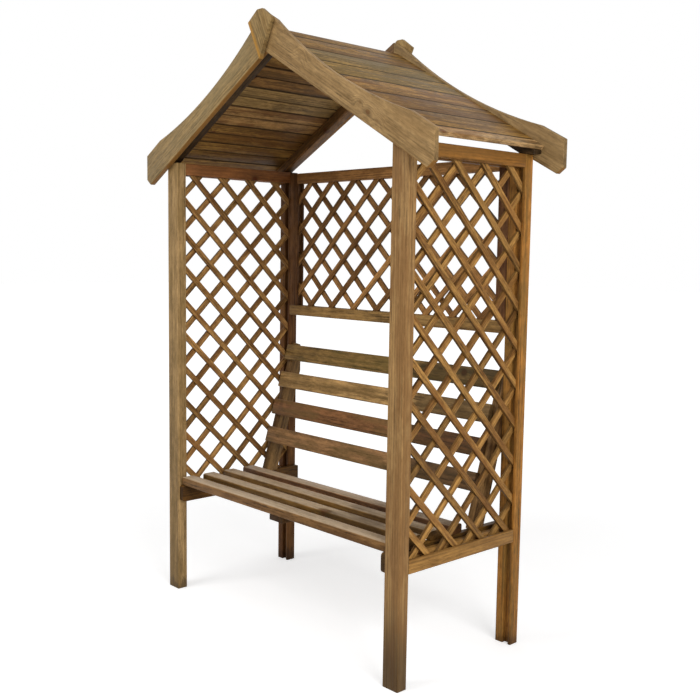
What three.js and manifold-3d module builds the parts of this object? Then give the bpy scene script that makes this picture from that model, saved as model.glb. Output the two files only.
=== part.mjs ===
// Timber arbour seat: a two-seat bench between trellis sides, under a pitched roof with hollow barge boards.
// Sizes are in millimetres. X runs along the front to the right, Y to the back, Z up from the ground,
// and the origin is on the ground under the middle of the frame.
import * as THREE from "three";
import { mergeVertices } from "three/addons/utils/BufferGeometryUtils.js";
import Module from "manifold-3d";

const wasm = await Module();
wasm.setup();

// Frame and posts.
const frameWidth = 1212.4;
const frameDepth = 566;
const postWidth = 61.7;
const postDepth = 38.4;
const postHeight = 1584.6;
const grooveWall = 30;
const grooveWidth = 21.6;
const grooveDepth = 14;
const frameArris = 1.6;

// Pitched roof.
const roofPitchDegrees = 29.6;
const rafterSeatLength = 20.8;
const rafterWidth = 35;
const rafterTail = 30;
const mitreGap = 0.3;
const seatedGap = 0.3;
const roofBoardThickness = 15;
const rightEaveOverhang = 38.7;
const leftEaveOverhang = 50;
const ridgeStripWidth = 53.5;
const fullBoardCount = 6;
const eaveStripWidth = 46;
const boardJointGap = 0.6;
const undersideBevel = 3;
const topBevel = 1.2;
const centreGrooveDepth = 3;

// Barge boards and apex plates. The rear pair lies a little flatter than the roof, and the joints and the
// plates stand a little to the left of the middle.
const bargeThickness = 19;
const bargeWidth = 104;
const bargeRaise = -16;
const bargeOverhang = 112;
const bargeTipCut = 24;
const bargeTipRise = 18;
const bargeHollowStart = 8;
const bargeEndFlat = 102;
const bargeHollowDepth = 34;
const bargeHollowSteps = 14;
const rearBargePitchDegrees = 27.9;
const frontJointShift = 10;
const rearJointShift = 20;
const apexPlateThickness = 15;
const apexPlateWidth = 121;
const apexPlateTopWidth = 25;
const apexPlateRise = 110.5;
const apexPlateShoulderRise = 76.5;
const apexPlateDrop = 44.5;
const frontPlateShift = 20;
const rearPlateShift = 10;

// Trellis sides.
const sideBottomRailTop = 388;
const sideRailHeight = 42;
const lathWidth = 20;
const lathThickness = 10.4;
const lathBite = 0.4;
const lathEndClearance = 1;
const shortestLath = 95;
const weldDistance = 0.001;
const sideTrellisPitchAcross = 125.5;
const sideTrellisPitchUp = 124;
const leftTrellisNodeAcross = 0;
const leftTrellisNodeHeight = 1462;
const rightTrellisNodeAcross = 8;
const rightTrellisNodeHeight = 1468;

// Trellis back panel.
const backRailHeight = 39.5;
const backTopRailDrop = 6.6;
const backBottomRailTop = 1059;
const backStileWidth = 42;
const backGrooveWall = 12;
const backGrooveWidth = 18.4;
const backGrooveDepth = 12;
const backLathThickness = 9;
const backTrellisPitchAcross = 123.3;
const backTrellisPitchUp = 120.7;
const backTrellisNodeAcross = -3;
const backTrellisNodeHeight = 1481.6;

// Seat.
const seatHeight = 430;
const seatSlatThickness = 30.5;
const seatSlatWidth = 53;
const seatSlatPitch = 93.5;
const seatSlatCount = 4;
const seatSlatSlack = 11;
const seatSlatShift = 4;
const seatSlatRound = 7;
const seatFrontInset = 11;
const bearerThickness = 22;
const bearerHeight = 61;
const bearerFrontInset = 6;
const bearerRearInset = 3;
const bearerNoseRound = 11;
const battenWidth = 70;
const battenThickness = 19;
const battenShift = 20;
const battenFrontInset = 4;
const battenRearInset = 3;

// Seat back.
const backRakeDegrees = 16.5;
const backFootSetback = 392;
const supportThickness = 27;
const supportWidth = 55;
const supportLength = 528;
const backSlatCount = 4;
const backSlatWidth = 62;
const backSlatThickness = 20;
const backSlatPitch = 112.2;
const backSlatFirst = 149.5;
const backSlatRound = 4;
const backSlatSlack = 16;
const backSlatShift = 7;
const roundSteps = 4;

// Derived places.
const postOuter = frameWidth / 2;
const postInner = postOuter - postWidth;
const rearFace = frameDepth / 2;
const panelReach = rearFace - postDepth;
const pitch = THREE.MathUtils.degToRad(roofPitchDegrees);
const rake = THREE.MathUtils.degToRad(backRakeDegrees);
const seatTimberBottom = seatHeight - seatSlatThickness;
const frontFace = -rearFace;
const sideTopRailTop = postHeight;
const backTopRailTop = postHeight - backTopRailDrop;
const rafterSeat = postHeight + seatedGap;
const rafterHeel = postOuter - rafterSeatLength;
const rafterApexHeight = rafterSeat + rafterHeel * Math.tan(pitch);
const rafterReach = postOuter + rafterTail;
const bargeReach = postOuter + bargeOverhang;
const rearBargePitch = THREE.MathUtils.degToRad(rearBargePitchDegrees);
const seatSlatLength = 2 * postInner - seatSlatSlack;
const backSlatLength = 2 * postInner - backSlatSlack;

// Ways of laying a flat outline (a, b) in the frame and running it along the third direction c.
const alongX = (a, b, c) => [c, a, b];
const alongY = (a, b, c) => [a, c, b];
const alongZ = (a, b, c) => [a, b, c];

// Point of a roof slope as a distance across from the apex and a height: u runs down the slope from the apex
// and v stands square off the underside of the rafters.
function slopePoint(u, v, angle = pitch) {
  return [
    u * Math.cos(angle) + v * Math.sin(angle),
    rafterApexHeight - u * Math.sin(angle) + v * Math.cos(angle),
  ];
}

// Height of a line square off the slope by v, at a distance across from the apex.
function slopeHeight(across, v, angle = pitch) {
  return rafterApexHeight - across * Math.tan(angle) + v / Math.cos(angle);
}

// Enclosed volume of a triangle list, negative when the triangles face inward.
function signedVolume(position, index) {
  const a = new THREE.Vector3();
  const b = new THREE.Vector3();
  const c = new THREE.Vector3();
  let total = 0;
  for (let i = 0; i < index.length; i += 3) {
    a.fromArray(position, index[i] * 3);
    b.fromArray(position, index[i + 1] * 3);
    c.fromArray(position, index[i + 2] * 3);
    total += a.dot(b.cross(c)) / 6;
  }
  return total;
}

// Straight bar with the given outline, from one end to the other.
function bar(outline, place, from, to) {
  const flat = outline.map(([a, b]) => new THREE.Vector2(a, b));
  if (THREE.ShapeUtils.isClockWise(flat)) flat.reverse();
  const position = [];
  flat.forEach(({ x, y }) => position.push(...place(x, y, from)));
  flat.forEach(({ x, y }) => position.push(...place(x, y, to)));
  const count = flat.length;
  const index = [];
  THREE.ShapeUtils.triangulateShape(flat, []).forEach(([p, q, r]) => {
    const [s, t] = THREE.ShapeUtils.isClockWise([flat[p], flat[q], flat[r]]) ? [q, r] : [r, q];
    index.push(p, s, t);
    index.push(p + count, t + count, s + count);
  });
  for (let i = 0; i < count; i += 1) {
    const j = (i + 1) % count;
    index.push(i, j, j + count);
    index.push(i, j + count, i + count);
  }
  if (signedVolume(position, index) < 0) {
    for (let i = 0; i < index.length; i += 3) {
      [index[i + 1], index[i + 2]] = [index[i + 2], index[i + 1]];
    }
  }
  const geometry = new THREE.BufferGeometry();
  geometry.setAttribute("position", new THREE.Float32BufferAttribute(position, 3));
  geometry.setIndex(index);
  geometry.computeVertexNormals();
  return geometry;
}

// Outline with each corner rounded by its own radius; a corner with no radius stays sharp.
function rounded(corners, radii) {
  const points = [];
  corners.forEach(([a, b], i) => {
    const radius = radii[i];
    if (!radius) {
      points.push([a, b]);
      return;
    }
    const here = new THREE.Vector2(a, b);
    const towards = (step) => {
      const next = corners[(i + step + corners.length) % corners.length];
      return new THREE.Vector2(...next).sub(here).normalize();
    };
    const before = towards(-1);
    const after = towards(1);
    const half = Math.acos(THREE.MathUtils.clamp(before.dot(after), -1, 1)) / 2;
    const middle = before.clone().add(after).normalize().multiplyScalar(radius / Math.sin(half)).add(here);
    const first = before.clone().multiplyScalar(radius / Math.tan(half)).add(here).sub(middle);
    const last = after.clone().multiplyScalar(radius / Math.tan(half)).add(here).sub(middle);
    const turn = Math.atan2(first.cross(last), first.dot(last));
    for (let step = 0; step <= roundSteps; step += 1) {
      const spoke = first.clone().rotateAround(new THREE.Vector2(), (turn * step) / roundSteps);
      points.push([middle.x + spoke.x, middle.y + spoke.y]);
    }
  });
  return points;
}

function box2(a0, b0, a1, b1, radii) {
  return rounded([[a0, b0], [a1, b0], [a1, b1], [a0, b1]], radii);
}

// Section of the grooved frame timber: s runs across the width, t goes in from the grooved face.
function groovedSection(width, depth, wall, groove, deep) {
  const arris = frameArris;
  return [
    [arris, 0], [wall, 0], [wall, deep], [wall + groove, deep], [wall + groove, 0], [width - arris, 0],
    [width, arris], [width, depth - arris], [width - arris, depth],
    [arris, depth], [0, depth - arris], [0, arris],
  ];
}

// Timber of the side frames, to its own depth.
function sideSection(depth) {
  return groovedSection(postWidth, depth, grooveWall, grooveWidth, grooveDepth);
}

// Timber of the back panel, to its own depth.
function backSection(depth) {
  return groovedSection(postDepth, depth, backGrooveWall, backGrooveWidth, backGrooveDepth);
}

// Each side frame starts at this X. Both are the same way round, with the groove nearer the right-hand face.
function sideStart(side) {
  return side > 0 ? postInner : -postOuter;
}

// Corner post, grooved towards the trellis for its whole length.
function cornerPost(side, end) {
  const outline = sideSection(postDepth).map(([s, t]) => [sideStart(side) + s, end * (panelReach + t)]);
  return bar(outline, alongZ, 0, postHeight);
}

// Top or bottom rail of a side frame, between the front and rear posts.
function sideRail(side, top) {
  const outline = sideSection(sideRailHeight).map(([s, t]) => [
    sideStart(side) + s,
    top ? sideTopRailTop - sideRailHeight + t : sideBottomRailTop - t,
  ]);
  return bar(outline, alongY, -panelReach, panelReach);
}

// Trellis made of two layers of slanting laths, trimmed to a rectangle. The first layer climbs across the
// panel and the second falls.
function trellis(spec) {
  const { place, across, low, high, first, thick, pitchAcross, pitchUp, nodeAcross, nodeHeight } = spec;
  const rise = pitchUp / pitchAcross;
  const lean = Math.atan(rise);
  const halfLath = lathWidth / 2;
  const reach = (across[1] - across[0]) + (high - low);
  let body = null;
  [0, 1].forEach((layer) => {
    const climbs = layer === 0 ? 1 : -1;
    const start = first + layer * (thick - lathBite);
    const along = [Math.cos(lean), climbs * Math.sin(lean)];
    const square = [-along[1], along[0]];
    const lines = Math.ceil(reach / pitchUp) + 1;
    for (let k = -lines; k <= lines; k += 1) {
      const level = nodeHeight + k * pitchUp;
      const cuts = across.map((p) => level + climbs * rise * (p - nodeAcross));
      const inside = cuts.map((q) => Math.min(Math.max(q, low), high));
      if (Math.abs(inside[1] - inside[0]) / Math.sin(lean) < shortestLath) continue;
      const corner = (u, w) => [
        nodeAcross + along[0] * u + square[0] * w,
        level + along[1] * u + square[1] * w,
      ];
      const outline = [
        corner(-reach * 2, -halfLath), corner(reach * 2, -halfLath),
        corner(reach * 2, halfLath), corner(-reach * 2, halfLath),
      ];
      const lath = solid(bar(outline, place, start, start + thick));
      body = body ? body.add(lath) : lath;
    }
  });
  const edge = [[across[0], low], [across[1], low], [across[1], high], [across[0], high]];
  const window = solid(bar(edge, place, first - thick, first + 3 * thick));
  return geometryOf(body.intersect(window));
}

// Closed solid from a geometry, and a geometry from a closed solid.
function solid(geometry) {
  const clean = geometry.clone();
  clean.deleteAttribute("normal");
  const joined = mergeVertices(clean, weldDistance);
  return new wasm.Manifold(new wasm.Mesh({
    numProp: 3,
    vertProperties: new Float32Array(joined.attributes.position.array),
    triVerts: new Uint32Array(joined.index.array),
  }));
}

function geometryOf(body) {
  const mesh = body.getMesh();
  const geometry = new THREE.BufferGeometry();
  const stride = mesh.numProp;
  const position = [];
  for (let i = 0; i < mesh.vertProperties.length; i += stride) {
    position.push(mesh.vertProperties[i], mesh.vertProperties[i + 1], mesh.vertProperties[i + 2]);
  }
  geometry.setAttribute("position", new THREE.Float32BufferAttribute(position, 3));
  geometry.setIndex(Array.from(mesh.triVerts));
  geometry.computeVertexNormals();
  return geometry;
}

// Side trellis, standing in the grooves of its posts and rails.
function sideTrellis(side) {
  const layers = 2 * lathThickness - lathBite;
  return trellis({
    place: alongX,
    across: [-panelReach - grooveDepth + lathEndClearance, panelReach + grooveDepth - lathEndClearance],
    low: sideBottomRailTop - grooveDepth,
    high: sideTopRailTop - sideRailHeight + grooveDepth - lathEndClearance,
    first: sideStart(side) + grooveWall + (grooveWidth - layers) / 2,
    thick: lathThickness,
    pitchAcross: sideTrellisPitchAcross,
    pitchUp: sideTrellisPitchUp,
    nodeAcross: side > 0 ? rightTrellisNodeAcross : leftTrellisNodeAcross,
    nodeHeight: side > 0 ? rightTrellisNodeHeight : leftTrellisNodeHeight,
  });
}

// Back panel: a grooved frame of two rails and two stiles between the rear posts, with its own trellis.
function backRail(top) {
  const outline = backSection(backRailHeight).map(([s, t]) => [
    panelReach + s,
    top ? backTopRailTop - backRailHeight + t : backBottomRailTop - t,
  ]);
  const reach = top ? postInner - backStileWidth : postInner;
  return bar(outline, alongX, -reach, reach);
}

function backStile(side) {
  const outline = backSection(backStileWidth).map(([s, t]) => [
    side * (postInner - backStileWidth + t),
    panelReach + s,
  ]);
  return bar(outline, alongZ, backBottomRailTop, backTopRailTop);
}

function backTrellis() {
  const layers = 2 * backLathThickness - lathBite;
  const reach = postInner - backStileWidth + backGrooveDepth - lathEndClearance;
  return trellis({
    place: alongY,
    across: [-reach, reach],
    low: backBottomRailTop - backGrooveDepth,
    high: backTopRailTop - backRailHeight + backGrooveDepth - lathEndClearance,
    first: panelReach + backGrooveWall + (backGrooveWidth - layers) / 2,
    thick: backLathThickness,
    pitchAcross: backTrellisPitchAcross,
    pitchUp: backTrellisPitchUp,
    nodeAcross: backTrellisNodeAcross,
    nodeHeight: backTrellisNodeHeight,
  });
}

// Rafter in the plane of the posts, mitred at the apex, with a level cut that sits on the top of its post.
function rafter(side, end) {
  const apex = mitreGap / 2;
  const outline = [
    [apex, slopeHeight(apex, 0)], [rafterHeel, rafterSeat], [rafterReach, rafterSeat],
    [rafterReach, slopeHeight(rafterReach, rafterWidth)], [apex, slopeHeight(apex, rafterWidth)],
  ];
  return bar(outline.map(([a, b]) => [side * a, b]), alongY, end * panelReach, end * rearFace);
}

// Barge board: straight lower edge, hollow upper edge, plumb outer end with a cut-back lower corner. It is
// laid out from its joint at the apex, at the given angle, and its outer end stands at the barge reach.
function bargeBoard(side, end) {
  const angle = end > 0 ? rearBargePitch : pitch;
  const shift = end > 0 ? rearJointShift : frontJointShift;
  const apex = mitreGap / 2;
  const reach = bargeReach + side * shift;
  const tip = reach - bargeTipCut;
  const top = bargeRaise + bargeWidth;
  const points = [
    [apex, slopeHeight(apex, bargeRaise, angle)],
    [tip, slopeHeight(tip, bargeRaise, angle)],
    [reach, slopeHeight(tip, bargeRaise, angle) + bargeTipRise],
    [reach, slopeHeight(reach, top, angle)],
  ];
  const hollowEnd = (reach - top * Math.sin(angle)) / Math.cos(angle) - bargeEndFlat;
  const half = (hollowEnd - bargeHollowStart) / 2;
  const radius = (half * half + bargeHollowDepth * bargeHollowDepth) / (2 * bargeHollowDepth);
  const spread = Math.asin(half / radius);
  for (let step = 0; step <= bargeHollowSteps; step += 1) {
    const turn = spread * (1 - (2 * step) / bargeHollowSteps);
    const u = bargeHollowStart + half + radius * Math.sin(turn);
    const v = top - (radius * Math.cos(turn) - (radius - bargeHollowDepth));
    points.push(slopePoint(u, v, angle));
  }
  points.push([apex, slopeHeight(apex, top, angle)]);
  const outline = points.map(([a, b]) => [side * a - shift, b]);
  return bar(outline, alongY, end * rearFace, end * (rearFace + bargeThickness));
}

// Apex plate: shield-shaped board over the joint of the barge boards.
function apexPlate(end) {
  const half = apexPlateWidth / 2;
  const top = apexPlateTopWidth / 2;
  const shift = end > 0 ? rearPlateShift : frontPlateShift;
  const outline = [
    [0, -apexPlateDrop], [half, apexPlateShoulderRise], [top, apexPlateRise],
    [-top, apexPlateRise], [-half, apexPlateShoulderRise],
  ].map(([a, b]) => [a - shift, rafterApexHeight + b]);
  const inner = rearFace + bargeThickness;
  return bar(outline, alongY, end * inner, end * (inner + apexPlateThickness));
}

// One roof board across the slope, numbered from 0 at the ridge, bevelled at its joints. The left eave
// stands out a little further than the right one.
function roofBoard(side, number) {
  const low = rafterWidth + seatedGap;
  const high = low + roofBoardThickness;
  const ridgeEdge = ridgeStripWidth - high * Math.tan(pitch);
  const overhang = side > 0 ? rightEaveOverhang : leftEaveOverhang;
  const eave = (postOuter + overhang - high * Math.sin(pitch)) / Math.cos(pitch);
  const boardPitch = (eave - ridgeEdge - eaveStripWidth) / fullBoardCount;
  const last = fullBoardCount + 1;
  const start = number === 0 ? 0 : ridgeEdge + (number - 1) * boardPitch + boardJointGap / 2;
  const width = number === last ? eaveStripWidth : boardPitch;
  const end = number === 0 ? ridgeEdge - boardJointGap / 2 : start + width - boardJointGap;
  const mitre = (v) => (mitreGap / 2 - v * Math.sin(pitch)) / Math.cos(pitch);
  const outline = [];
  if (number === 0) {
    outline.push([mitre(high), high], [mitre(low), low]);
  } else {
    outline.push([start + topBevel, high], [start, high - topBevel]);
    outline.push([start, low + undersideBevel], [start + undersideBevel, low]);
  }
  if (number > 0 && number < last) {
    const middle = (start + end) / 2;
    outline.push([middle - undersideBevel, low], [middle, low + centreGrooveDepth]);
    outline.push([middle + undersideBevel, low]);
  }
  outline.push([end - undersideBevel, low], [end, low + undersideBevel]);
  outline.push([end, high - topBevel], [end - topBevel, high]);
  const placed = outline.map(([u, v]) => slopePoint(u, v)).map(([a, b]) => [side * a, b]);
  return bar(placed, alongY, frontFace, rearFace);
}

// Seat bearer on the inner faces of a front and a rear post, with a rounded nose.
function seatBearer(side) {
  const front = frontFace + bearerFrontInset;
  const radii = [bearerNoseRound, 0, 0, bearerNoseRound];
  const bottom = seatTimberBottom - bearerHeight;
  const outline = box2(front, bottom, rearFace - bearerRearInset, seatTimberBottom, radii);
  return bar(outline, alongX, side * (postInner - bearerThickness), side * postInner);
}

// Seat slat with rounded edges, numbered from 0 at the front.
function seatSlat(number) {
  const front = frontFace + seatFrontInset + number * seatSlatPitch;
  const radii = Array(4).fill(seatSlatRound);
  const outline = box2(front, seatTimberBottom, front + seatSlatWidth, seatHeight, radii);
  return bar(outline, alongX, seatSlatShift - seatSlatLength / 2, seatSlatShift + seatSlatLength / 2);
}

// Flat batten under the middle of the seat slats.
function seatBatten() {
  const front = frontFace + seatFrontInset;
  const rear = front + (seatSlatCount - 1) * seatSlatPitch + seatSlatWidth - battenRearInset;
  const bottom = seatTimberBottom - battenThickness;
  const outline = box2(front + battenFrontInset, bottom, rear, seatTimberBottom, Array(4).fill(0));
  return bar(outline, alongX, battenShift - battenWidth / 2, battenShift + battenWidth / 2);
}

// Point beside a raking back support: s runs up its front face from the bearer, t stands forward of it.
function rakePoint(s, t) {
  return [
    frontFace + backFootSetback + s * Math.sin(rake) - t * Math.cos(rake),
    seatTimberBottom + s * Math.cos(rake) + t * Math.sin(rake),
  ];
}

// Raking back support, standing on a bearer and lying against the inner face of a rear post. Its top is cut
// plumb at the rear face of the post.
function backSupport(side) {
  const [toe, foot] = rakePoint(0, 0);
  const heel = toe + supportWidth / Math.cos(rake);
  const crown = rakePoint(supportLength, 0);
  const outline = [
    [toe, foot],
    [heel, foot],
    [rearFace, foot + (rearFace - heel) / Math.tan(rake)],
    [rearFace, crown[1] - (rearFace - crown[0]) * Math.tan(rake)],
    crown,
  ];
  return bar(outline, alongX, side * (postInner - supportThickness), side * postInner);
}

// Back slat across the front of both supports, numbered from 0 at the bottom.
function backSlat(number) {
  const middle = backSlatFirst + number * backSlatPitch;
  const half = backSlatWidth / 2;
  const radii = Array(4).fill(backSlatRound);
  const section = box2(middle - half, seatedGap, middle + half, seatedGap + backSlatThickness, radii);
  const outline = section.map(([s, t]) => rakePoint(s, t));
  return bar(outline, alongX, -backSlatShift - backSlatLength / 2, -backSlatShift + backSlatLength / 2);
}

const arbour = new THREE.Group();
arbour.name = "arbour_seat";

function add(name, geometry, color, roughness) {
  const material = new THREE.MeshStandardMaterial({ color, roughness, metalness: 0 });
  material.name = name;
  const mesh = new THREE.Mesh(geometry, material);
  mesh.name = name;
  arbour.add(mesh);
}

const sides = [["left", -1], ["right", 1]];
const ends = [["front", -1], ["rear", 1]];

ends.forEach(([endName, end]) => {
  sides.forEach(([sideName, side]) => {
    add(`post_${endName}_${sideName}`, cornerPost(side, end), 0x8f6a45, 0.75);
  });
});
sides.forEach(([sideName, side]) => {
  add(`side_top_rail_${sideName}`, sideRail(side, true), 0x8a5c38, 0.75);
  add(`side_bottom_rail_${sideName}`, sideRail(side, false), 0x9a734a, 0.75);
  add(`side_trellis_${sideName}`, sideTrellis(side), 0xa07a4a, 0.8);
});
add("back_top_rail", backRail(true), 0x75573a, 0.75);
add("back_bottom_rail", backRail(false), 0x75573a, 0.75);
sides.forEach(([sideName, side]) => {
  add(`back_stile_${sideName}`, backStile(side), 0x6e5037, 0.75);
});
add("back_trellis", backTrellis(), 0x86683f, 0.8);
sides.forEach(([sideName, side]) => {
  add(`seat_bearer_${sideName}`, seatBearer(side), 0x6a4a30, 0.75);
});
add("seat_batten", seatBatten(), 0x5c4030, 0.8);
for (let number = 0; number < seatSlatCount; number += 1) {
  add(`seat_slat_${number + 1}`, seatSlat(number), 0x9a8066, 0.8);
}
sides.forEach(([sideName, side]) => {
  add(`back_support_${sideName}`, backSupport(side), 0x7a5c3a, 0.8);
});
for (let number = 0; number < backSlatCount; number += 1) {
  add(`back_slat_${number + 1}`, backSlat(number), 0x7d6240, 0.8);
}
ends.forEach(([endName, end]) => {
  sides.forEach(([sideName, side]) => {
    add(`rafter_${endName}_${sideName}`, rafter(side, end), 0x6b4f33, 0.8);
    add(`barge_board_${endName}_${sideName}`, bargeBoard(side, end), 0xa58758, 0.7);
  });
  add(`apex_plate_${endName}`, apexPlate(end), 0x9c8258, 0.7);
});
for (let number = 0; number < fullBoardCount + 2; number += 1) {
  sides.forEach(([sideName, side]) => {
    add(`roof_board_${sideName}_${number + 1}`, roofBoard(side, number), 0x8c7455, 0.8);
  });
}

export default arbour;
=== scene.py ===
import math
import bpy
from mathutils import Matrix, Vector


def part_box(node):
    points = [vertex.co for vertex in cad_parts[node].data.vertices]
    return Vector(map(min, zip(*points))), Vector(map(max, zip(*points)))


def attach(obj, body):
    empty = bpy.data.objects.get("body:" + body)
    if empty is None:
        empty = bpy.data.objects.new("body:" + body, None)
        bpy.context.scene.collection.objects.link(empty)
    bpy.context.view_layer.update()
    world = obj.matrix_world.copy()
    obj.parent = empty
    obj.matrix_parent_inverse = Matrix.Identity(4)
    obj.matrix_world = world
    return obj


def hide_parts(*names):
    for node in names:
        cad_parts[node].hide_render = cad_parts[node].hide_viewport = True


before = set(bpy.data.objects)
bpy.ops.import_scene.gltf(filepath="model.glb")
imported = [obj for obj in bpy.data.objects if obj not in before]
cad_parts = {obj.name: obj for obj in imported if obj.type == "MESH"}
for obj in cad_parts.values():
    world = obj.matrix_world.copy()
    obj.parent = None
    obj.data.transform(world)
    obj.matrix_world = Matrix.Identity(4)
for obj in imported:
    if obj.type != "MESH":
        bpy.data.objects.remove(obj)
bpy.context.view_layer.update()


# The four corner posts. Each is a length of planed, pressure-treated softwood with a groove for the trellis
# down its inner face, cut square at the foot and at the head, with the sharp edges taken off.

class Strand:
    """One value or colour on its way through a finish. Arithmetic on it adds Math nodes."""

    def __init__(self, tree, socket=None):
        self.tree = tree
        self.socket = socket

    def node(self, kind, settings, sockets, result=0):
        """Adds a node, sets it up, fills its sockets with values or strands, and gives a result."""
        made = self.tree.nodes.new(kind)
        for name, value in settings.items():
            setattr(made, name, value)
        for name, value in sockets.items():
            if isinstance(value, Strand):
                self.tree.links.new(value.socket, made.inputs[name])
            else:
                made.inputs[name].default_value = value
        return Strand(self.tree, made.outputs[result])

    def math(self, operation, *others):
        """A Math operation on this value and the others."""
        sockets = dict(enumerate((self, *others)))
        return self.node("ShaderNodeMath", {"operation": operation}, sockets)

    def __add__(self, other):
        return self.math("ADD", other)

    def __radd__(self, other):
        return self.math("ADD", other)

    def __sub__(self, other):
        return self.math("SUBTRACT", other)

    def __rsub__(self, other):
        return self.node("ShaderNodeMath", {"operation": "SUBTRACT"}, {0: other, 1: self})

    def __mul__(self, other):
        return self.math("MULTIPLY", other)

    def __rmul__(self, other):
        return self.math("MULTIPLY", other)

    def __truediv__(self, other):
        return self.math("DIVIDE", other)

    def __pow__(self, other):
        return self.math("POWER", other)

    def ease(self, start, end):
        """0 before start, 1 past end, with a smooth run between; start may be the larger."""
        return self.node("ShaderNodeMapRange", {"interpolation_type": "SMOOTHSTEP"},
                         {"Value": self, "From Min": start, "From Max": end})

    def parts(self):
        """The three numbers of a direction or place."""
        split = self.node("ShaderNodeSeparateXYZ", {}, {0: self})
        return [Strand(self.tree, out) for out in split.socket.node.outputs]

    def place(self, x, y, z):
        """A place from its three numbers."""
        return self.node("ShaderNodeCombineXYZ", {}, {0: x, 1: y, 2: z})

    def vector(self, operation, *others, result=0):
        """A Vector Math operation on this place or direction and the others."""
        sockets = dict(enumerate((self, *others)))
        return self.node("ShaderNodeVectorMath", {"operation": operation}, sockets, result)

    def noise(self, x, y, z, detail=2.0, roughness=0.5):
        """Noise from 0 to 1 whose grains are about one unit wide; the three numbers set the scale."""
        sockets = {"Vector": self.place(x, y, z), "Scale": 1.0, "Detail": detail, "Roughness": roughness}
        return self.node("ShaderNodeTexNoise", {}, sockets)

    def voronoi(self, vector, result):
        """The place or the colour of the nearest of many scattered spots."""
        sockets = {"Vector": vector, "Scale": 1.0, "Randomness": 0.8}
        return self.node("ShaderNodeTexVoronoi", {}, sockets, result)

    def blend(self, amount, first, second):
        """Two colours mixed by an amount."""
        return self.node("ShaderNodeMix", {"data_type": "RGBA"}, {0: amount, 6: first, 7: second}, 2)


def tone(red, green, blue):
    """A colour as it looks on a screen, from 0 to 255, for a shader's socket."""
    return tuple((c / 255) ** 2.2 for c in (red, green, blue)) + (1.0,)


def shade(colour, share):
    """The same colour with a share of its light."""
    return tuple(min(c * share, 1.0) for c in colour[:3]) + (1.0,)


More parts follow.
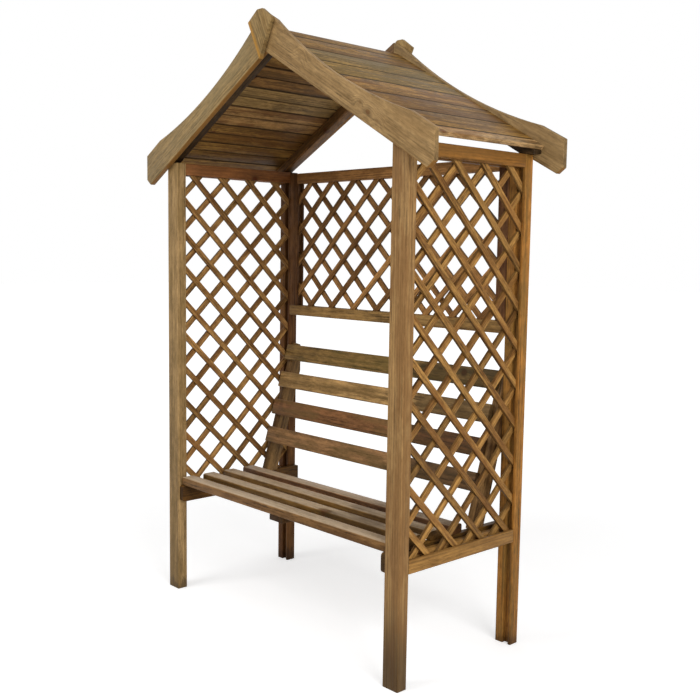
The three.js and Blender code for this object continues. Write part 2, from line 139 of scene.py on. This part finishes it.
def timber(name, lay, centre, body, stain, seed, ring=0.0075, figure=0.3, heart=(0.03, -0.07),
           knots=0.35, stained=0.5, lively=1.0, joints=(), vee=False, step=None, foot=None, painted_sheen=None,
           under=None, painted_front_shade=0.0, strip=None, branches=(), painted_right_shade=0.0):
    """Planed softwood. Its grain runs along the X of a board that lies as lay says, in degrees, about
    centre; a point's along, across and deep are its places on that board.
      body, stain, stained: the wood's colour, its second colour and how much of that there is
      ring, figure, heart: the growth rings' pitch, their strength, and their middle across and deep
      knots, branches: the share of places with a knot, and knots placed one by one, each with its place
        along and across, its radius and its strength
      lively: the strength of the streaks
      step: the pitch across of a layer of laths, which then differ from one another
      joints, vee: where joints lie across the board, and whether its underside has a vee; painted shade
          darkens both
      strip: the colour of one edge, with the depths where it is full and where it is gone
      foot: the height up to which a post is soiled
      painted_sheen, under: a sheen painted on upper faces, and a colour painted on lower faces for the
          light they get
      painted_front_shade, painted_right_shade: how much painted shade darkens the front faces, and the
          right end"""
    pale, dark, deepest = shade(body, 1.75), shade(body, 0.36), shade(body, 0.12)
    knot_colour = (body[0] * 0.45, body[1] * 0.26, body[2] * 0.16, 1.0)
    material = bpy.data.materials.new(name)
    material.use_nodes = True
    tree = material.node_tree
    shader = tree.nodes["Principled BSDF"]
    wood = Strand(tree)
    at = wood.node("ShaderNodeTexCoord", {}, {}, "Object")
    board = wood.node("ShaderNodeMapping", {"vector_type": "TEXTURE"}, {
        "Vector": at,
        "Location": centre,
        "Rotation": tuple(math.radians(angle) for angle in lay),
    })
    along, across, deep = board.parts()
    if step:
        number = (across / step).math("ROUND")
        chance = wood.node("ShaderNodeTexWhiteNoise", {"noise_dimensions": "1D"}, {"W": number + seed})
        across = across - number * step
        log_length = 40.0
        along = along + chance * log_length

    # how the growth rings stray along the board, slowly and in ripples
    sway = wood.noise(along * 1.3 + seed * 3.7, across * 4.0 + seed, deep * 4.0, 1.5) - 0.5
    ripple = wood.noise(along * 7.0 + seed * 1.9, across * 26.0, deep * 26.0 + seed) - 0.5

    # knots: here and there a branch has grown through, at most one in each cell
    cell = (0.26, 0.075, 0.075)
    smallest_knot, knot_spread = 0.007, 0.008
    shift = (seed * 5.3 + 0.3, seed * 2.1 + 0.5, seed * 1.3 + 0.5)
    spots = wood.place(along, across, deep).vector("DIVIDE", cell).vector("ADD", shift)
    found = wood.voronoi(spots, "Position")
    luck, size_luck = wood.voronoi(spots, "Color").parts()[:2]
    apart = spots.vector("SUBTRACT", found).vector("MULTIPLY", cell)
    knot_radius = smallest_knot + size_luck * knot_spread
    reach = apart.vector("LENGTH", result="Value") / knot_radius + ripple * 0.35
    here = luck.ease(knots, knots - 0.02)
    knot = reach.ease(1.1, 0.8) * here
    rim = reach.ease(1.8, 1.0) * here
    pull = reach.ease(4.0, 0.6) * here
    knot_flatness = 1.5
    for x, y, size, strength in branches:
        off = wood.place(along - x, (across - y) * knot_flatness, 0.0)
        reach = off.vector("LENGTH", result="Value") / size + ripple * 1.2
        knot = knot.math("MAXIMUM", reach.ease(1.0, 0.5) * strength)
        rim = rim.math("MAXIMUM", reach.ease(2.4, 1.0) * strength)
        pull = pull.math("MAXIMUM", reach.ease(5.0, 0.6))

    # growth rings round the heart, pushed out by knots: slow to darken, quick to end
    dy = across - heart[0] + sway * 0.05 + along * 0.012
    dz = deep - heart[1] + ripple * 0.004
    radius = (dy * dy + dz * dz) ** 0.5
    radius = radius + sway * 0.034 + ripple * 0.006 + pull * 0.010
    uneven = wood.noise(radius * 75.0, seed, along * 0.4, 1.0) - 0.5
    radius = radius + uneven * 0.011
    turn = (radius / ring).math("FRACT")
    late = turn.ease(0.1, 0.86) * turn.ease(1.0, 0.93)

    # long streaks, thin dark lines, broad patches, clouds, mottling and fibres
    streak = wood.noise(along * 1.0 + seed * 7.1, across * 38.0, deep * 38.0 + seed * 3.0, 4.0, 0.65)
    lines = wood.noise(along * 3.2 + seed * 0.7, across * 120.0 + seed, deep * 120.0, 3.0, 0.65)
    patch = wood.noise(along * 2.2 + seed * 2.3, across * 11.0 + seed, deep * 11.0)
    cloud = wood.noise(along * 9.0 + seed, across * 30.0, deep * 30.0 + seed * 2.0, 3.0, 0.6) - 0.5
    mottle = wood.noise(along * 34.0, across * 130.0 + seed, deep * 130.0, 4.0, 0.8) - 0.5
    fibre = wood.noise(along * 16.0, across * 640.0 + seed, deep * 640.0, 2.0, 0.65) - 0.5
    amount = 0.34 + late * figure * (0.3 + streak) + (streak - 0.5) * 1.6 * lively + cloud * 1.2 * lively
    amount = amount + lines.ease(0.52, 0.70) * 0.45 * lively + mottle * 2.0 * lively + fibre * 0.6
    colour = wood.blend(amount, pale, dark)
    stripe = patch * 0.5 + streak * 0.5 + cloud * 0.5
    colour = wood.blend(stripe.ease(0.43, 0.58) * stained, colour, stain)
    colour = wood.blend((lines + mottle * 0.3).ease(0.60, 0.76) * 0.65 * lively, colour, deepest)
    colour = wood.blend(rim * 0.45, colour, dark)
    colour = wood.blend(knot * 0.85, colour, knot_colour)

    # what only some pieces have: laths of their own lightness, a strip, painted shade in the joints and in
    # the vee, and a soiled foot
    if step:
        sockets = {"Value": 0.74 + chance * 0.52, "Color": colour}
        colour = wood.node("ShaderNodeHueSaturation", {}, sockets)
    if strip:
        full, none, tint = strip
        colour = wood.blend((deep + cloud * 0.006).ease(none, full) * 0.9, colour, tint)
    joint_half, joint_core = 0.0055, 0.001
    # painted shade along each joint, where the grooves between boards hold shadow
    for joint in joints:
        gap = across - joint + cloud * 0.004
        joint_shade = gap.math("ABSOLUTE").ease(joint_half, joint_core)
        colour = wood.blend(joint_shade * 0.85, colour, deepest)
    # painted shade along the vee down the underside
    if vee:
        vee_half, vee_core = 0.0045, 0.0015
        underside = deep.ease(-0.003, -0.006)
        groove = across.math("ABSOLUTE").ease(vee_half, vee_core) * underside
        colour = wood.blend(groove * 0.85, colour, deepest)
    if foot is not None:
        height = at.parts()[2]
        soil = (height + cloud * 0.16 + mottle * 0.2).ease(foot, foot * 0.2)
        colour = wood.blend(soil * 0.7, colour, deepest)

    # cut ends drink more of the treatment; the rest is painted light and shade: a sheen on upper faces, a
    # colour on lower faces, and shade on fronts, right ends and lath edges
    facing = wood.node("ShaderNodeNewGeometry", {}, {}, "Normal")
    forward, upward = facing.parts()[1:]
    turned = Matrix.Identity(3)
    for axis, angle in zip("XYZ", lay):
        turned = Matrix.Rotation(math.radians(angle), 3, axis) @ turned
    end_on = facing.vector("DOT_PRODUCT", turned @ Vector((1, 0, 0)), result="Value")
    end_on = end_on.math("ABSOLUTE").ease(0.75, 0.95)
    colour = wood.blend(end_on * 0.4, colour, deepest)
    # painted sheen: upper faces turned pale, as if catching the light
    if painted_sheen:
        sheen_amount = upward.ease(0.6, 0.95) * (0.92 - amount * 0.45) * (1.0 - rim * 0.8)
        colour = wood.blend(sheen_amount, colour, painted_sheen)
    # painted shade: the right end is darkened, as if in the shadow of the side trellis
    if painted_right_shade:
        shade_starts, shade_full = 0.19, 0.27
        shade_at_end = (along + cloud * 0.15 + patch * 0.1).ease(shade_starts, shade_full)
        colour = wood.blend(shade_at_end * (painted_right_shade + cloud * 0.5), colour, deepest)
    # painted light on lower faces: shade on the apex plates, an orange-brown highlight on the barge boards
    if under:
        colour = wood.blend(upward.ease(-0.2, -0.7) * 0.8, colour, under)
    # painted shade: faces turned to the front are darkened, as if less lit
    if painted_front_shade:
        colour = wood.blend(forward.ease(-0.75, -0.98) * painted_front_shade, colour, deepest)
    # the laths' edges are darkened: painted shade, with some of the sawn edges' own darker colour
    if step:
        lath_edge_shade = facing.vector("DOT_PRODUCT", turned @ Vector((0, 1, 0)), result="Value")
        lath_edge_shade = lath_edge_shade.math("ABSOLUTE").ease(0.6, 0.9)
        colour = wood.blend(lath_edge_shade * 0.45, colour, deepest)
    tree.links.new(colour.socket, shader.inputs["Base Color"])

    # a dull surface that stands up a little along the rings, lines and fibres and dips at knots
    rough = 0.55 + fibre * 0.25 - late * 0.08 + mottle * 0.2
    tree.links.new(rough.socket, shader.inputs["Roughness"])
    shader.inputs["Specular IOR Level"].default_value = 0.1
    relief = late * 0.5 + fibre * 0.6 + lines * 0.5 - knot * 0.4
    relief_height = 0.0008
    bump = wood.node("ShaderNodeBump", {}, {"Strength": 0.4, "Distance": relief_height, "Height": relief})
    tree.links.new(bump.socket, shader.inputs["Normal"])
    return material


# how a solid is merged and eased: places and faces taken as one, edges eased, and edges shaded as smooth
merge_within = 0.00005
flat_within = math.radians(0.5)
eased_over = math.radians(40)
smooth_under = math.radians(32)
planed_edge = 0.0012


def dress(node, material, edge=planed_edge):
    """A merged copy of a CAD solid with its sharp edges eased, in its place and with its finish."""
    bpy.ops.object.select_all(action="DESELECT")
    piece = bpy.data.objects.new(node + "_timber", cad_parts[node].data.copy())
    bpy.context.scene.collection.objects.link(piece)
    piece.select_set(True)
    bpy.context.view_layer.objects.active = piece
    bpy.ops.object.mode_set(mode="EDIT")
    bpy.ops.mesh.select_all(action="SELECT")
    bpy.ops.mesh.remove_doubles(threshold=merge_within)
    bpy.ops.mesh.dissolve_limited(angle_limit=flat_within)
    bpy.ops.object.mode_set(mode="OBJECT")
    edges = piece.modifiers.new("eased edges", "BEVEL")
    edges.width = edge
    edges.segments = 2
    edges.limit_method = "ANGLE"
    edges.angle_limit = eased_over
    bpy.ops.object.modifier_apply(modifier=edges.name)
    bpy.ops.object.shade_smooth_by_angle(angle=smooth_under)
    finished(piece, node, material)


def finished(piece, node, material):
    """Gives a piece its finish, the body that it rides on, and the CAD solid whose place it takes."""
    piece.data.materials.clear()
    piece.data.materials.append(material)
    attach(piece, "root")
    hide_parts(node)


def middle(node):
    """The middle of a CAD solid's box."""
    low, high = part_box(node)
    return tuple((low + high) / 2)


# how a board lies, in degrees: its own X, along the grain, turned into its place
UPRIGHT = (0, -90, 0)
ACROSS_THE_FRONT = (0, 0, 0)
FRONT_TO_BACK = (0, 0, 90)

# each post's wood and stain, its seed, how high its foot is soiled and how lively its grain is
post_tones = {
    "post_front_left": (tone(147, 119, 80), tone(143, 115, 71), 1.0, 0.05, 0.8),
    "post_front_right": (tone(140, 109, 70), tone(127, 89, 52), 2.0, 0.3, 0.45),
    "post_rear_left": (tone(97, 66, 37), tone(87, 52, 28), 3.0, 0.05, 0.85),
    "post_rear_right": (tone(140, 96, 47), tone(127, 98, 52), 4.0, 0.05, 0.85),
}
for node, (body, stain, seed, soiled, lively) in post_tones.items():
    # the front-left post's front face gets painted shade, as if less lit than its side
    shaded = 0.22 if node == "post_front_left" else 0.0
    finish = timber(node + "_finish", UPRIGHT, middle(node), body, stain, seed, knots=0.1, lively=lively,
                    foot=soiled, painted_front_shade=shaded)
    dress(node, finish)


# The side frames' rails, of the same grooved timber as the posts and screwed between them: one at the top
# and one at knee height on each side, grooved towards the trellis.

rail_tones = {
    "side_top_rail_left": (tone(133, 87, 51), tone(113, 75, 45), 5.0),
    "side_top_rail_right": (tone(117, 80, 39), tone(124, 88, 46), 6.0),
    "side_bottom_rail_left": (tone(112, 86, 54), tone(98, 70, 44), 7.0),
    "side_bottom_rail_right": (tone(135, 100, 56), tone(123, 87, 47), 8.0),
}
for node, (body, stain, seed) in rail_tones.items():
    finish = timber(node + "_finish", FRONT_TO_BACK, middle(node), body, stain, seed, lively=0.6)
    dress(node, finish)


# The side trellises: thin sawn laths in two layers, slanting opposite ways and stapled where they cross.
# The panel's edges stand in the grooves of the posts and rails.

lath_width = 0.020
lath_edge = 0.0009
shortest_lath = 0.095


def lath_layer(name, node, across_axis, pitch_across, pitch_up, node_across, node_height, rear, climbs,
               material):
    """One layer of parallel laths: one lath is planed, copied up the panel, and all of them are trimmed to
    the panel's edges. The pitches are those of the crossings, one of which is at the node's place."""
    low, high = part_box(node)
    thin_axis = 1 - across_axis
    thick = (high[thin_axis] - low[thin_axis]) / 2
    level = low[thin_axis] + thick * (1.5 if rear else 0.5)
    rise = pitch_up / pitch_across
    lean = math.atan(rise)
    reach = (high[across_axis] - low[across_axis]) + (high.z - low.z)
    bpy.ops.object.select_all(action="DESELECT")
    bpy.ops.mesh.primitive_cube_add(size=1, location=(0, 0, 0))
    pattern = bpy.context.object
    pattern.scale = (4 * reach, thick, lath_width)
    bpy.ops.object.transform_apply(location=False, rotation=False, scale=True)
    edges = pattern.modifiers.new("eased edges", "BEVEL")
    edges.width = lath_edge
    edges.segments = 2
    bpy.ops.object.modifier_apply(modifier=edges.name)
    if across_axis == 0:
        across, quarter = Vector((1, 0, 0)), Matrix.Identity(4)
    else:
        across, quarter = Vector((0, 1, 0)), Matrix.Rotation(math.radians(90), 4, "Z")
    slant = quarter @ Matrix.Rotation(-climbs * lean, 4, "Y")
    sides = (low[across_axis], high[across_axis])
    laths = []
    count = math.ceil(reach / pitch_up) + 1
    for k in range(-count, count + 1):
        crossing = node_height + k * pitch_up
        ends = [crossing + climbs * rise * (side - node_across) for side in sides]
        inside = [min(max(end, low.z), high.z) for end in ends]
        if abs(inside[1] - inside[0]) / math.sin(lean) < shortest_lath:
            continue
        lath = pattern.copy()
        lath.data = pattern.data.copy()
        bpy.context.scene.collection.objects.link(lath)
        spot = Vector((0, 0, crossing))
        spot[across_axis] = node_across
        spot[thin_axis] = level
        lath.data.transform(Matrix.Translation(spot) @ slant)
        laths.append(lath)
    bpy.data.objects.remove(pattern)
    bpy.ops.object.select_all(action="DESELECT")
    for lath in laths:
        lath.select_set(True)
    bpy.context.view_layer.objects.active = laths[0]
    bpy.ops.object.join()
    layer = bpy.context.object
    layer.name = name
    bpy.ops.object.mode_set(mode="EDIT")
    up = Vector((0, 0, 1))
    for corner, outward in ((low, -across), (high, across), (low, -up), (high, up)):
        bpy.ops.mesh.select_all(action="SELECT")
        bpy.ops.mesh.bisect(plane_co=corner, plane_no=outward, use_fill=True, clear_outer=True)
    bpy.ops.object.mode_set(mode="OBJECT")
    bpy.ops.object.shade_smooth_by_angle(angle=smooth_under)
    finished(layer, node, material)


side_pitch_across, side_pitch_up = 0.1255, 0.124
side_lean = math.degrees(math.atan(side_pitch_up / side_pitch_across))
side_step = side_pitch_up * math.cos(math.radians(side_lean))

# each side's crossing, from front to back and up, its wood and its stain
side_laths = {
    "left": (0.0, 1.462, tone(148, 111, 66), tone(121, 80, 44)),
    "right": (0.008, 1.468, tone(136, 101, 56), tone(115, 74, 38)),
}
for side, (node_across, node_height, body, stain) in side_laths.items():
    node = "side_trellis_" + side
    low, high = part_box(node)
    start = ((low.x + high.x) / 2, node_across, node_height)
    for rear, climbs in ((False, 1), (True, -1)):
        name = node + ("_falling_laths" if rear else "_climbing_laths")
        lay = (90, -climbs * side_lean, 90)
        finish = timber(name + "_finish", lay, start, body, stain, 9.0 + 3 * rear, ring=0.006,
                        heart=(0.05, -0.05), knots=0.15, step=side_step)
        lath_layer(name, node, 1, side_pitch_across, side_pitch_up, node_across, node_height,
                   rear, climbs, finish)


# The trellis panel at the back: a light frame of two rails and two stiles with its own finer trellis, made
# up as one panel and fixed between the rear posts above the seat's back.

panel_tones = {
    "back_top_rail": (ACROSS_THE_FRONT, tone(165, 118, 70), tone(142, 100, 58), 15.0),
    "back_bottom_rail": (ACROSS_THE_FRONT, tone(139, 108, 65), tone(116, 86, 50), 16.0),
    "back_stile_left": (UPRIGHT, tone(98, 68, 42), tone(84, 56, 36), 17.0),
    "back_stile_right": (UPRIGHT, tone(106, 74, 46), tone(78, 44, 30), 18.0),
}
for node, (lay, body, stain, seed) in panel_tones.items():
    finish = timber(node + "_finish", lay, middle(node), body, stain, seed, lively=0.8)
    dress(node, finish)

back_pitch_across, back_pitch_up = 0.1233, 0.1207
back_node_across, back_node_height = -0.003, 1.4816
back_lean = math.degrees(math.atan(back_pitch_up / back_pitch_across))
back_step = back_pitch_up * math.cos(math.radians(back_lean))
start = (back_node_across, middle("back_trellis")[1], back_node_height)
for rear, climbs in ((False, 1), (True, -1)):
    name = "back_trellis" + ("_falling_laths" if rear else "_climbing_laths")
    lay = (90, -climbs * back_lean, 0)
    finish = timber(name + "_finish", lay, start, tone(141, 102, 60), tone(120, 80, 43), 21.0 + 3 * rear,
                    ring=0.006, heart=(0.05, -0.05), knots=0.15, stained=0.4, step=back_step)
    lath_layer(name, "back_trellis", 0, back_pitch_across, back_pitch_up, back_node_across,
               back_node_height, rear, climbs, finish)


# The seat: two bearers screwed to the inner faces of the posts, four heavy slats with rounded edges laid
# across them, and a flat batten under the slats that ties them together.

seat_tones = {
    "seat_bearer_left": (FRONT_TO_BACK, tone(82, 56, 26), tone(66, 45, 23), 25.0),
    "seat_bearer_right": (FRONT_TO_BACK, tone(88, 63, 30), tone(73, 50, 25), 26.0),
    "seat_batten": (FRONT_TO_BACK, tone(73, 50, 25), tone(62, 40, 20), 27.0),
    "seat_slat_1": (ACROSS_THE_FRONT, tone(117, 86, 53), tone(101, 70, 41), 28.0),
    "seat_slat_2": (ACROSS_THE_FRONT, tone(130, 96, 50), tone(108, 76, 38), 29.0),
    "seat_slat_3": (ACROSS_THE_FRONT, tone(134, 98, 52), tone(110, 76, 38), 30.0),
    "seat_slat_4": (ACROSS_THE_FRONT, tone(128, 88, 56), tone(108, 72, 44), 31.0),
}
# a pale painted sheen for the seat slats' upper faces, as if they caught the light
sheen_tone = tone(204, 182, 152)
seat_knot = (0.152, -0.019, 0.017, 1.0)
for node, (lay, body, stain, seed) in seat_tones.items():
    slat = "slat" in node
    behind = slat and node != "seat_slat_1"
    # the slats behind the first get painted shade on their fronts, as if shadowed by the slat ahead, and on
    # their right ends, as if shadowed by the side trellis; the other seat pieces get a lighter painted
    # shade on their fronts
    finish = timber(node + "_finish", lay, middle(node), body, stain, seed,
                    painted_sheen=sheen_tone if slat else None,
                    painted_front_shade=0.55 if behind else 0.2,
                    painted_right_shade=0.42 if behind else 0.0,
                    branches=[seat_knot] if node == "seat_slat_2" else ())
    dress(node, finish)


# The seat's back: two raking supports that stand on the bearers against the rear posts, and four slats with
# softened edges fixed across their front faces.

RAKE = 16.5
UP_THE_RAKE = (90, RAKE - 90, 90)
ACROSS_THE_RAKE = (90 - RAKE, 0, 0)
back_tones = {
    "back_support_left": (UP_THE_RAKE, tone(112, 86, 54), tone(96, 68, 42), 33.0),
    "back_support_right": (UP_THE_RAKE, tone(106, 80, 50), tone(88, 60, 38), 34.0),
    "back_slat_1": (ACROSS_THE_RAKE, tone(132, 99, 66), tone(116, 93, 56), 35.0),
    "back_slat_2": (ACROSS_THE_RAKE, tone(117, 81, 52), tone(124, 97, 59), 36.0),
    "back_slat_3": (ACROSS_THE_RAKE, tone(161, 127, 81), tone(138, 108, 65), 37.0),
    "back_slat_4": (ACROSS_THE_RAKE, tone(120, 94, 55), tone(107, 90, 48), 38.0),
}
for node, (lay, body, stain, seed) in back_tones.items():
    # the back slats' right ends get painted shade, as if shadowed by the side trellis
    painted_right_shade = 0.62 if "slat" in node else 0.0
    finish = timber(node + "_finish", lay, middle(node), body, stain, seed, lively=0.9, painted_right_shade=painted_right_shade)
    dress(node, finish)


# The rafters: a pair at each end, mitred at the top and sitting on the heads of the posts. They carry the
# roof boards and are mostly hidden behind the barge boards.

PITCH = 29.6
slopes = {"left": -1, "right": 1}
# these two rafters get a darker wood as painted shade, for the deep shadow they sit in under the eaves
rafters_in_painted_shade = ("rafter_rear_right", "rafter_front_left")
for end in ("front", "rear"):
    for side, way in slopes.items():
        node = "rafter_" + end + "_" + side
        seed = 40.0 + way + (4 if end == "rear" else 0)
        body = tone(70, 54, 36) if node in rafters_in_painted_shade else tone(110, 78, 45)
        stain = shade(body, 0.65)
        finish = timber(node + "_finish", (90, way * PITCH, 0), middle(node), body, stain, seed)
        dress(node, finish)


# The barge boards and apex plates: wide planed boards with a hollow sawn along the top edge and cut-back
# tips, nailed to the ends of the roof, and a shield-shaped plate over the joint at each apex.

REAR_PITCH = 27.9
softened_edge = 0.002
barge_tones = {
    "barge_board_front_left": (-PITCH, tone(131, 109, 74), tone(137, 121, 88), 51.0),
    "barge_board_front_right": (PITCH, tone(139, 112, 75), tone(129, 99, 60), 52.0),
    "barge_board_rear_left": (-REAR_PITCH, tone(108, 83, 58), tone(95, 70, 46), 53.0),
    "barge_board_rear_right": (REAR_PITCH, tone(129, 105, 71), tone(119, 92, 56), 54.0),
}
barge_knots = [
    (0.097, -0.016, 0.008, 0.4),
    (0.141, -0.026, 0.012, 0.75),
    (0.187, -0.032, 0.009, 0.3),
]
for node, (slope, body, stain, seed) in barge_tones.items():
    # the barge boards' undersides get an orange-brown painted highlight
    finish = timber(node + "_finish", (90, slope, 0), middle(node), body, stain, seed, ring=0.0055,
                    heart=(0.01, -0.05), knots=0.1, lively=0.6, stained=0.35, under=tone(138, 94, 42),
                    branches=barge_knots if node == "barge_board_front_right" else ())
    dress(node, finish, softened_edge)

DOWN_THE_EDGE = (0, 63.4, 0)
plate_body, plate_stain = tone(129, 106, 69), tone(136, 104, 60)
bright_edge = (-0.030, -0.016, tone(176, 128, 58))
for end, seed in (("front", 55.0), ("rear", 56.0)):
    node = "apex_plate_" + end
    # the plates' lower, down-facing edges are painted in shade
    finish = timber(node + "_finish", DOWN_THE_EDGE, middle(node), plate_body, plate_stain, seed,
                    ring=0.009, heart=(0.0, -0.03), lively=0.7, under=tone(74, 62, 44),
                    strip=bright_edge if end == "front" else None)
    dress(node, finish, softened_edge)


# The roof boards: tongued and grooved boards laid across the rafters from the ridge down, with a V at each
# joint and down the middle of the face that shows below, and a narrow strip at the ridge and at the eaves.

roof_tones = {
    "left": [
        (tone(148, 113, 70), tone(129, 88, 50)),
        (tone(121, 89, 52), tone(109, 81, 47)),
        (tone(132, 98, 52), tone(113, 76, 40)),
        (tone(145, 116, 72), tone(132, 106, 67)),
        (tone(135, 101, 55), tone(117, 80, 40)),
    ],
    "right": [
        (tone(126, 94, 50), tone(111, 75, 38)),
        (tone(119, 94, 50), tone(107, 88, 46)),
        (tone(116, 87, 44), tone(104, 71, 36)),
        (tone(124, 97, 50), tone(113, 91, 49)),
        (tone(119, 89, 45), tone(104, 73, 36)),
    ],
}
eave_tones = {
    "left": (tone(150, 114, 62), tone(134, 98, 50)),
    "right": (tone(150, 120, 82), tone(140, 100, 58)),
}
roof_lively = {"left": 1.0, "right": 1.4}
ridge_board, eave_board = 1, 8
board_thick = 0.015
board_edge = 0.0006
roof_slope = math.radians(PITCH)
for side, way in slopes.items():
    tones = roof_tones[side]
    for number in range(ridge_board, eave_board + 1):
        node = f"roof_board_{side}_{number}"
        body, stain = eave_tones[side] if number == eave_board else tones[number * 2 % len(tones)]
        low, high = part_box(node)
        board_width = (high.x - low.x - board_thick * math.sin(roof_slope)) / math.cos(roof_slope)
        jointed = {ridge_board: [-way], eave_board: [way]}.get(number, [-1, 1])
        seed = 60.0 + number * 1.7 + way * 8
        finish = timber(node + "_finish", (way * PITCH, 0, 90), middle(node), body, stain, seed,
                        stained=0.6, figure=0.5, lively=roof_lively[side],
                        joints=[edge * board_width / 2 for edge in jointed],
                        vee=ridge_board < number < eave_board)
        dress(node, finish, board_edge)


# The studio: a plain pale floor, a soft even light from all round with two large soft lamps in front, and
# the camera where the photograph was taken from.

floor_size = 60
floor_white = 0.75
bpy.ops.object.select_all(action="DESELECT")
bpy.ops.mesh.primitive_plane_add(size=floor_size, location=(0, 0, 0))
floor = bpy.context.object
floor.name = "studio_floor"
paper = bpy.data.materials.new("pale_floor")
paper.use_nodes = True
sheet = Strand(paper.node_tree)
base = paper.node_tree.nodes["Principled BSDF"]
base.inputs["Base Color"].default_value = (floor_white, floor_white, floor_white, 1)
base.inputs["Roughness"].default_value = 0.9
seen = sheet.node("ShaderNodeLightPath", {}, {}, "Is Camera Ray")
glossy = sheet.node("ShaderNodeLightPath", {}, {}, "Is Glossy Ray")
away = sheet.node("ShaderNodeTexCoord", {}, {}, "Object").vector("LENGTH", result="Value")
glow_near, glow_more = 0.50, 0.24
shadow_reach, all_white = 1.2, 3.8
shine = seen.math("MAXIMUM", glossy) * (glow_near + away.ease(shadow_reach, all_white) * glow_more)
glow = sheet.node("ShaderNodeEmission", {}, {"Color": (1, 1, 1, 1), "Strength": shine})
both = sheet.node("ShaderNodeAddShader", {}, {0: Strand(paper.node_tree, base.outputs[0]), 1: glow})
paper.node_tree.links.new(both.socket, paper.node_tree.nodes["Material Output"].inputs["Surface"])
floor.data.materials.append(paper)

world = bpy.data.worlds.new("studio")
world.use_nodes = True
bpy.context.scene.world = world
sky = Strand(world.node_tree)
rays = [sky.node("ShaderNodeLightPath", {}, {}, ray) for ray in
        ("Is Camera Ray", "Is Glossy Ray", "Is Transmission Ray")]
seen = rays[0].math("MAXIMUM", rays[1]).math("MAXIMUM", rays[2])
ambient = 0.42
background = world.node_tree.nodes["Background"]
background.inputs["Color"].default_value = (1, 1, 1, 1)
world.node_tree.links.new((seen * (1 - ambient) + ambient).socket, background.inputs["Strength"])


def soft_lamp(name, spot, aim, size, power):
    lamp = bpy.data.lights.new(name, "AREA")
    lamp.shape = "SQUARE"
    lamp.size = size
    lamp.energy = power
    holder = bpy.data.objects.new(name, lamp)
    bpy.context.scene.collection.objects.link(holder)
    holder.location = spot
    holder.rotation_euler = (Vector(aim) - Vector(spot)).to_track_quat("-Z", "Y").to_euler()


lamp_size = 2.6
mid_height = (0, 0, 1.0)
soft_lamp("front_softbox", (-1.0, -4.2, 4.2), mid_height, lamp_size, 105)
soft_lamp("side_softbox", (4.6, -1.4, 2.8), mid_height, lamp_size, 150)

camera = bpy.data.objects.new("camera", bpy.data.cameras.new("camera"))
bpy.context.scene.collection.objects.link(camera)
camera.data.sensor_width = 36.0
camera.data.lens = 49.605
camera.data.shift_x = 0.00096
camera.data.shift_y = 0.00497
turned, tipped, rolled = (math.radians(angle) for angle in (47.0638, 5.9696, 0.8504))
ahead = Vector((
    -math.sin(turned) * math.cos(tipped),
    math.cos(turned) * math.cos(tipped),
    -math.sin(tipped),
))
level = Vector((math.cos(turned), math.sin(turned), 0))
upward = level.cross(ahead)
rightward = level * math.cos(rolled) + upward * math.sin(rolled)
upward = upward * math.cos(rolled) - level * math.sin(rolled)
camera.rotation_euler = Matrix((rightward, upward, -ahead)).transposed().to_euler()
camera.location = (2.466655, -2.2232, 1.271297)
bpy.context.scene.camera = camera
bpy.context.scene.view_settings.view_transform = "Standard"
